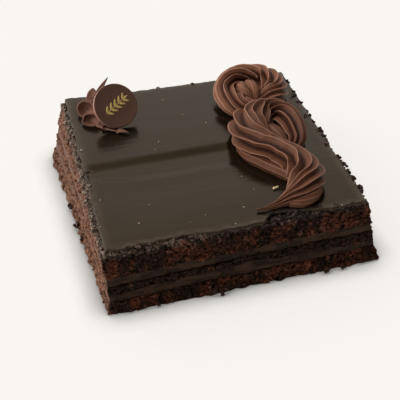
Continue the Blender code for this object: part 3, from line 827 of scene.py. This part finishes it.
def build_clumps(name, rng, centres, sizes):
    """Many irregular crumbs as one mesh, each with its own tone."""
    bm = bmesh.new()
    bmesh.ops.create_icosphere(bm, subdivisions=2, radius=1.0)
    ball = np.array([vert.co for vert in bm.verts])
    ball_faces = np.array([[vert.index for vert in face.verts] for face in bm.faces])
    bm.free()
    total = len(centres)
    turns = rng.normal(size=(total, 4))
    turns /= np.linalg.norm(turns, axis=1)[:, None]
    bumps = 1.0 + 0.26 * rng.normal(size=(total, len(ball))).clip(-1.5, 1.5)
    stretch = rng.uniform(0.65, 1.35, size=(total, 3))
    w, x, y, z = turns.T
    spin = np.stack([
        np.stack([1 - 2 * (y * y + z * z), 2 * (x * y - w * z), 2 * (x * z + w * y)], 1),
        np.stack([2 * (x * y + w * z), 1 - 2 * (x * x + z * z), 2 * (y * z - w * x)], 1),
        np.stack([2 * (x * z - w * y), 2 * (y * z + w * x), 1 - 2 * (x * x + y * y)], 1),
    ], 1)
    shape = ball[None, :, :] * bumps[:, :, None] * stretch[:, None, :] * sizes[:, None, None]
    points = np.einsum("kij,knj->kni", spin, shape) + centres[:, None, :]
    points[:, :, 2] = np.maximum(points[:, :, 2], 0.0)
    faces = ball_faces[None, :, :] + (np.arange(total) * len(ball))[:, None, None]
    thing = make_mesh(name, points.reshape(-1, 3), faces.reshape(-1, 3).tolist(), smooth=False)
    add_attribute(thing, "tone", np.repeat(rng.uniform(size=total), len(ball)))
    return thing


def build_crumbs(layers):
    """Loose crumbs that cling to the cut sides and stand out along the torn rim."""
    rng = np.random.default_rng(11)
    centres, sizes, side_light_shares = [], [], []

    def scatter(layer, mask, amount, mean, largest):
        points, ways, side_lit = layer
        chosen = rng.choice(np.flatnonzero(mask), size=amount, replace=False)
        size = rng.gamma(2.4, mean / 2.4, size=amount).clip(0.22, largest)
        centres.append(points[chosen] + ways[chosen] * size[:, None] * 0.3)
        sizes.append(size)
        side_light_shares.append(side_lit[chosen])

    for layer, amount in zip(layers, SIDE_CRUMBS):
        side = (np.abs(layer[1][:, 2]) < 0.5) & (layer[0][:, 2] > 1.2)
        scatter(layer, side, amount, *SIDE_CRUMB_SIZE)
    points, ways, side_lit = layers[-1]
    top = (ways[:, 2] > 0.1) & (points[:, 2] > BLOCK_HEIGHT - 5.0)
    left = side_lit > 0.9
    front = side_lit < 0.02
    right = points[:, 0] > 78.5
    for rim, (amount, mean) in zip((left, front, right), RIM_CRUMBS):
        scatter(layers[-1], top & rim, amount, mean, 3.0 * mean)
    crumbs = build_clumps("loose_crumbs", rng, np.concatenate(centres), np.concatenate(sizes))
    each = len(crumbs.data.vertices) // sum(len(size) for size in sizes)
    # Each crumb takes the painted side light of the cut it clings to
    add_attribute(crumbs, "side_lit", np.repeat(np.concatenate(side_light_shares), each))
    return crumbs


def build_groups(name, seed, rows, amount, smallest, largest):
    """Groups of crumbs, each row with its place and how far the group spreads."""
    rng = np.random.default_rng(seed)
    centres, sizes = [], []
    for x, y, z, spread in rows:
        for _ in range(amount):
            centres.append(np.array((x, y, z)) + spread * rng.normal(size=3).clip(-1.3, 1.3))
            sizes.append(rng.uniform(smallest, largest) * spread)
    return build_clumps(name, rng, np.array(centres), np.array(sizes))


def build_specks():
    """Pale crumbs and sugar specks that lie on the glaze."""
    rng = np.random.default_rng(5)
    centres = [(x, y, BLOCK_HEIGHT + glaze_wave(x, y) + 0.2 * size) for x, y, size in SPECKS]
    sizes = np.array([0.85 * size for x, y, size in SPECKS])
    return build_clumps("pale_specks", rng, np.array(centres), sizes)


def new_material(name):
    material = bpy.data.materials.new(name)
    material.use_nodes = True
    tree = material.node_tree
    return material, tree, tree.nodes["Principled BSDF"]


def add_node(tree, kind, **settings):
    node = tree.nodes.new(kind)
    for key, value in settings.items():
        setattr(node, key, value)
    return node


def add_noise(tree, size, detail=3.0, stretch=(1.0, 1.0, 1.0)):
    """Noise in object space with bumps of a size in millimetres."""
    place = add_node(tree, "ShaderNodeTexCoord")
    mapping = add_node(tree, "ShaderNodeMapping")
    mapping.inputs["Scale"].default_value = [1.0 / (size * MM * factor) for factor in stretch]
    texture = add_node(tree, "ShaderNodeTexNoise")
    texture.inputs["Scale"].default_value = 1.0
    texture.inputs["Detail"].default_value = detail
    tree.links.new(place.outputs["Object"], mapping.inputs["Vector"])
    tree.links.new(mapping.outputs["Vector"], texture.inputs["Vector"])
    return texture.outputs["Fac"]


def add_range(tree, source, low, high, new_low, new_high):
    change = add_node(tree, "ShaderNodeMapRange")
    for name, value in (
        ("From Min", low), ("From Max", high), ("To Min", new_low), ("To Max", new_high)
    ):
        change.inputs[name].default_value = value
    tree.links.new(source, change.inputs["Value"])
    return change.outputs["Result"]


def mix_colours(tree, factor, first, second, blend="MIX"):
    mix = add_node(tree, "ShaderNodeMix", data_type="RGBA", blend_type=blend)
    if isinstance(factor, float):
        mix.inputs[0].default_value = factor
    else:
        tree.links.new(factor, mix.inputs[0])
    for socket, value in ((mix.inputs[6], first), (mix.inputs[7], second)):
        if isinstance(value, tuple):
            socket.default_value = (*value, 1.0)
        else:
            tree.links.new(value, socket)
    return mix.outputs[2]


def read_attribute(tree, name):
    node = add_node(tree, "ShaderNodeAttribute", attribute_name=name)
    return node.outputs["Fac"]


def add_bump(tree, shader, heights):
    """Chain of bumps, each a height, a strength and a depth in millimetres."""
    normal = None
    for height, strength, distance in heights:
        bump = add_node(tree, "ShaderNodeBump")
        bump.inputs["Strength"].default_value = strength
        bump.inputs["Distance"].default_value = distance * MM
        tree.links.new(height, bump.inputs["Height"])
        if normal is not None:
            tree.links.new(normal, bump.inputs["Normal"])
        normal = bump.outputs["Normal"]
    tree.links.new(normal, shader.inputs["Normal"])


def finish_surface(tree, shader, colour, roughness, specular, bumps):
    """Colour, roughness as a number or a socket, specular level and chain of bumps."""
    tree.links.new(colour, shader.inputs["Base Color"])
    if isinstance(roughness, float):
        shader.inputs["Roughness"].default_value = roughness
    else:
        tree.links.new(roughness, shader.inputs["Roughness"])
    shader.inputs["Specular IOR Level"].default_value = specular
    add_bump(tree, shader, bumps)


def crumb_colour(tree, tone=None):
    """Red-brown crumb, smeared with dark ganache in patches, stained by the glaze on top, and
    painted lighter on the side that the light falls on.
    """
    patches = add_noise(tree, 11.0, 3.0, (1.0, 1.0, 2.2))
    grain = add_noise(tree, 1.5, 4.0)
    fine = add_noise(tree, 0.6, 2.0)
    bright = add_range(tree, grain, 0.36, 0.64, 0.0, 1.0)
    red = mix_colours(tree, bright, *RED_SPONGE)
    smeared = mix_colours(tree, bright, *SMEARED_SPONGE)
    place = add_node(tree, "ShaderNodeTexCoord")
    parts = add_node(tree, "ShaderNodeSeparateXYZ")
    tree.links.new(place.outputs["Object"], parts.inputs["Vector"])
    low, high = [level * MM for level in SMEARED_FROM]
    above = add_range(tree, parts.outputs["Z"], low, high, 0.0, 1.0)
    low, high = [level * MM for level in SMEARED_TO]
    below = add_range(tree, parts.outputs["Z"], low, high, 0.20, 0.0)
    wet = mix_colours(tree, above, (0.0, 0.0, 0.0), below)
    covered = add_node(tree, "ShaderNodeMath", operation="ADD")
    tree.links.new(patches, covered.inputs[0])
    tree.links.new(wet, covered.inputs[1])
    cover = add_range(tree, covered.outputs["Value"], 0.40, 0.56, 0.0, 0.92)
    colour = mix_colours(tree, cover, red, smeared)
    # Painted light: the side that the light falls on is painted lighter
    side_lit = mix_colours(tree, bright, *LIT_SIDE_SPONGE)
    colour = mix_colours(tree, read_attribute(tree, "side_lit"), colour, side_lit)
    if tone is not None:
        redder = add_range(tree, tone, 0.4, 1.0, 0.0, 0.6)
        colour = mix_colours(tree, redder, colour, (0.15, 0.056, 0.031))
    low, high = [level * MM for level in STAINED_FROM]
    stain = add_range(tree, parts.outputs["Z"], low, high, 0.0, 0.88)
    torn = add_range(tree, parts.outputs["X"], -50.0 * MM, 0.0, 1.0, 0.0)
    dark, pale_right, pale_left = STAIN_TONES
    stained = mix_colours(tree, bright, dark, mix_colours(tree, torn, pale_right, pale_left))
    flecks = add_range(tree, grain, 0.38, 0.64, 0.0, 1.0)
    # Painted light: on the lit side the stained top is painted a paler grey, as a sheen
    stained_lit_side = mix_colours(tree, flecks, *LIT_SIDE_STAIN)
    stained = mix_colours(tree, read_attribute(tree, "side_lit"), stained, stained_lit_side)
    colour = mix_colours(tree, stain, colour, stained)
    return colour, grain, fine


def sponge_material():
    material, tree, shader = new_material("chocolate_sponge")
    colour, grain, fine = crumb_colour(tree)
    # Painted shade: the pores and clefts of the crumb are painted near black
    painted_pore_shade = add_range(tree, read_attribute(tree, "relief"), -1.1, 0.35, 0.0, 1.0)
    colour = mix_colours(tree, painted_pore_shade, (0.004, 0.0015, 0.001), colour)
    rough_grain = add_range(tree, grain, 0.3, 0.7, 0.75, 0.5)
    bumps = ((grain, 0.8, 0.5), (fine, 0.7, 0.3))
    finish_surface(tree, shader, colour, rough_grain, 0.04, bumps)
    return material


def crumb_material():
    material, tree, shader = new_material("loose_crumb")
    colour, grain, fine = crumb_colour(tree, read_attribute(tree, "tone"))
    rough_grain = add_range(tree, grain, 0.3, 0.7, 0.75, 0.45)
    finish_surface(tree, shader, colour, rough_grain, 0.06, ((fine, 0.6, 0.3),))
    return material


def filling_material():
    material, tree, shader = new_material("ganache_filling")
    smear = add_noise(tree, 6.0, 3.0, (1.0, 1.0, 0.12))
    grain = add_noise(tree, 1.4, 3.0)
    patches = add_noise(tree, 13.0, 4.0, (1.0, 1.0, 0.35))
    colour = mix_colours(tree, smear, (0.026, 0.0145, 0.009), (0.064, 0.037, 0.024))
    dark = add_range(tree, patches, 0.44, 0.58, 0.0, 0.8)
    colour = mix_colours(tree, dark, colour, (0.012, 0.007, 0.004))
    # Painted light: the lit side of the filling is painted lighter
    colour = mix_colours(tree, read_attribute(tree, "side_lit"), colour, (0.150, 0.085, 0.062))
    specks = add_range(tree, grain, 0.60, 0.72, 0.0, 1.0)
    colour = mix_colours(tree, specks, colour, (0.075, 0.028, 0.015))
    rough_smear = add_range(tree, smear, 0.3, 0.7, 0.36, 0.55)
    bumps = ((smear, 0.6, 0.5), (grain, 0.5, 0.3))
    finish_surface(tree, shader, colour, rough_smear, 0.05, bumps)
    return material


def glaze_material():
    material, tree, shader = new_material("dark_glaze")
    cloud = add_noise(tree, 38.0, 2.0)
    streaks = add_noise(tree, 16.0, 3.0, (1.0, 0.10, 1.0))
    dust = add_noise(tree, 0.9, 2.0)
    colour = mix_colours(tree, cloud, (0.006, 0.004, 0.0022), (0.010, 0.0065, 0.0038))
    # Painted highlight along the lip of the glaze, read from the edge attribute
    colour = mix_colours(tree, read_attribute(tree, "edge"), colour, (0.034, 0.026, 0.020))
    shader.inputs["Specular Tint"].default_value = (1.0, 0.66, 0.33, 1.0)
    rough_streaks = add_range(tree, streaks, 0.3, 0.7, 0.15, 0.21)
    bumps = ((streaks, 0.10, 0.5), (dust, 0.10, 0.06))
    finish_surface(tree, shader, colour, rough_streaks, 0.285, bumps)
    return material


def piping_material(name, groove_shade, dark, light, crest_highlight):
    """Piped cream with painted shade in its grooves and a painted highlight along the crests of
    its ridges.
    """
    material, tree, shader = new_material(name)
    cloud = add_noise(tree, 9.0, 2.0)
    grain = add_noise(tree, 0.9, 3.0)
    height = read_attribute(tree, "crest")
    # Painted shade in the grooves and painted highlight on the crests
    groove = add_range(tree, height, 0.0, 0.40, 0.0, 1.0)
    crest = add_range(tree, height, 0.84, 1.0, 0.0, 1.0)
    colour = mix_colours(tree, cloud, dark, light)
    colour = mix_colours(tree, groove, groove_shade, colour)
    colour = mix_colours(tree, crest, colour, crest_highlight)
    rough_grain = add_range(tree, grain, 0.3, 0.7, 0.40, 0.52)
    bumps = ((grain, 0.12, 0.15), (cloud, 0.15, 0.6))
    finish_surface(tree, shader, colour, rough_grain, 0.10, bumps)
    return material


def medallion_material():
    material, tree, shader = new_material("moulded_chocolate")
    cloud = add_noise(tree, 6.0, 2.0)
    grain = add_noise(tree, 0.7, 2.0)
    colour = mix_colours(tree, cloud, (0.118, 0.058, 0.037), (0.145, 0.072, 0.047))
    # Paler rim wall: partly scuffed bloom, partly a painted sheen
    colour = mix_colours(tree, read_attribute(tree, "rim_bloom_and_sheen"), colour, (0.36, 0.19, 0.145))
    rough_grain = add_range(tree, grain, 0.3, 0.7, 0.36, 0.46)
    bumps = ((grain, 0.08, 0.08), (cloud, 0.06, 0.3))
    finish_surface(tree, shader, colour, rough_grain, 0.3, bumps)
    return material


def grainy_material(name, size, dark, light, roughness, bump):
    """Gold and sugar: two tones in fine grains of a size in millimetres."""
    material, tree, shader = new_material(name)
    grain = add_noise(tree, size, 2.0)
    colour = mix_colours(tree, grain, dark, light)
    finish_surface(tree, shader, colour, roughness, 0.5, ((grain, bump, 0.1),))
    return material


def group_material(name, dark, light):
    """Crumbs that stand in groups, moist and a little glossy."""
    material, tree, shader = new_material(name)
    grain = add_noise(tree, 0.9, 3.0)
    colour = mix_colours(tree, add_range(tree, grain, 0.36, 0.66, 0.0, 1.0), dark, light)
    finish_surface(tree, shader, colour, 0.6, 0.2, ((grain, 0.5, 0.3),))
    return material


def floor_material():
    """Pale floor that glows a little, with a painted contact shadow where its glow is dimmed right
    beside what stands on it.
    """
    material, tree, shader = new_material("pale_floor")
    cloud = add_noise(tree, 400.0, 1.0)
    colour = mix_colours(tree, cloud, FLOOR_COLOUR, FLOOR_COLOUR)
    tree.links.new(colour, shader.inputs["Base Color"])
    shader.inputs["Roughness"].default_value = 1.0
    shader.inputs["Specular IOR Level"].default_value = 0.0
    # Painted contact shadow: the glow dims near what stands on the floor
    painted_contact_shadow = add_node(tree, "ShaderNodeAmbientOcclusion")
    painted_contact_shadow.inputs["Distance"].default_value = CONTACT_REACH * MM
    share = add_range(tree, painted_contact_shadow.outputs["AO"], 0.5, 1.0, CONTACT_GLOW, 1.0)
    glow = mix_colours(tree, share, (0.0, 0.0, 0.0), FLOOR_GLOW)
    tree.links.new(glow, shader.inputs["Emission Color"])
    shader.inputs["Emission Strength"].default_value = 1.0
    return material


def paint(thing, material):
    thing.data.materials.clear()
    thing.data.materials.append(material)
    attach(thing, "root")


def build_floor():
    bm = bmesh.new()
    bmesh.ops.create_grid(bm, x_segments=8, y_segments=8, size=FLOOR_HALF_SIDE)
    bmesh.ops.translate(bm, vec=(0.0, 0.0, -0.15), verts=bm.verts[:])
    floor = object_from_bmesh("floor", bm)
    floor.data.materials.append(floor_material())


def add_glow(tree, direction, spread, strength):
    """Soft round light in the sky, brightest in one direction."""
    place = add_node(tree, "ShaderNodeTexCoord")
    facing = add_node(tree, "ShaderNodeVectorMath", operation="DOT_PRODUCT")
    facing.inputs[1].default_value = Vector(direction).normalized()
    tree.links.new(place.outputs["Generated"], facing.inputs[0])
    value = facing.outputs["Value"]
    for operation, number in (("MAXIMUM", 0.0), ("POWER", spread), ("MULTIPLY", strength)):
        step = add_node(tree, "ShaderNodeMath", operation=operation)
        step.inputs[1].default_value = number
        tree.links.new(value, step.inputs[0])
        value = step.outputs["Value"]
    return value


def build_light():
    """Studio light: a large soft key from the left and a softer one from behind."""
    world = bpy.data.worlds.new("studio")
    world.use_nodes = True
    tree = world.node_tree
    background = tree.nodes["Background"]
    background.inputs["Color"].default_value = (*LIGHT_COLOUR, 1.0)
    strength = add_node(tree, "ShaderNodeMath", operation="ADD")
    strength.inputs[1].default_value = AMBIENT_LIGHT
    both = add_node(tree, "ShaderNodeMath", operation="ADD")
    tree.links.new(add_glow(tree, *KEY_LIGHT), both.inputs[0])
    tree.links.new(add_glow(tree, *BACK_LIGHT), both.inputs[1])
    tree.links.new(both.outputs["Value"], strength.inputs[0])
    tree.links.new(strength.outputs["Value"], background.inputs["Strength"])
    bpy.context.scene.world = world


def build_camera():
    data = bpy.data.cameras.new("camera")
    data.lens = CAMERA_LENS
    data.clip_start = 0.01
    camera = bpy.data.objects.new("camera", data)
    bpy.context.scene.collection.objects.link(camera)
    camera.location = Vector(CAMERA_PLACE) * MM
    aim = Vector(CAMERA_TARGET) - Vector(CAMERA_PLACE)
    camera.rotation_euler = aim.to_track_quat("-Z", "Y").to_euler()
    bpy.context.scene.camera = camera
    bpy.context.scene.view_settings.view_transform = "Standard"


def build_slab():
    """The five layers, from the base up; gives back where the sponges' points are."""
    materials = {"sponge": sponge_material(), "filling": filling_material()}
    sponges = []
    below = 0.0
    for name, kind, nominal, above in LAYERS:
        thing, layer = build_layer(name, kind, nominal, below, above)
        paint(thing, materials[kind])
        if kind == "sponge":
            sponges.append(layer)
        below = above
    return sponges


def build_swirls():
    """The scroll and the rosette: a main rope each, with the low ones that belong to it."""
    for node, path, low_ropes, around, tones in (
        ("scroll", SCROLL_PATH, SCROLL_FEET, 96, SCROLL_TONES),
        ("rosette", ROSETTE_PATH, ROSETTE_HEART, 72, ROSETTE_TONES),
    ):
        ropes = [(path, 18, 144, RIDGE_DEPTH)]
        ropes += [(low_rope, 12, around, FOOT_RIDGES) for low_rope in low_ropes]
        cream = piping_material(node + "_cream", *tones)
        paint(build_piping(node + "_piped", node, ropes), cream)


def main():
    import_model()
    noise.seed_set(NOISE_SEED)
    build_camera()
    build_light()
    build_floor()
    sponges = build_slab()
    paint(build_crumbs(sponges), crumb_material())
    paint(build_glaze(), glaze_material())
    build_swirls()
    paint(build_ruffle(), piping_material("ruffle_cream", *RUFFLE_TONES))
    paint(build_medallion(), medallion_material())
    gold = grainy_material("gold_paint", 0.8, *GOLD_TONES, roughness=0.4, bump=0.2)
    paint(build_sprig(), gold)
    sugar = grainy_material("gold_sugar", 0.6, *SPRINKLE_TONES, roughness=0.3, bump=0.2)
    paint(build_sprinkle(), sugar)
    pale = grainy_material("pale_speck", 0.5, *SPECK_TONES, roughness=0.5, bump=0.3)
    paint(build_specks(), pale)
    red = group_material("red_crumb", *RED_TONES)
    paint(build_groups("red_crumbs", 23, RED_CRUMBS, 8, 0.25, 0.75), red)
    torn = group_material("torn_crumb", *TORN_TONES)
    paint(build_groups("torn_clumps", 29, RIM_CLUMPS, 12, 0.6, 1.1), torn)


main()
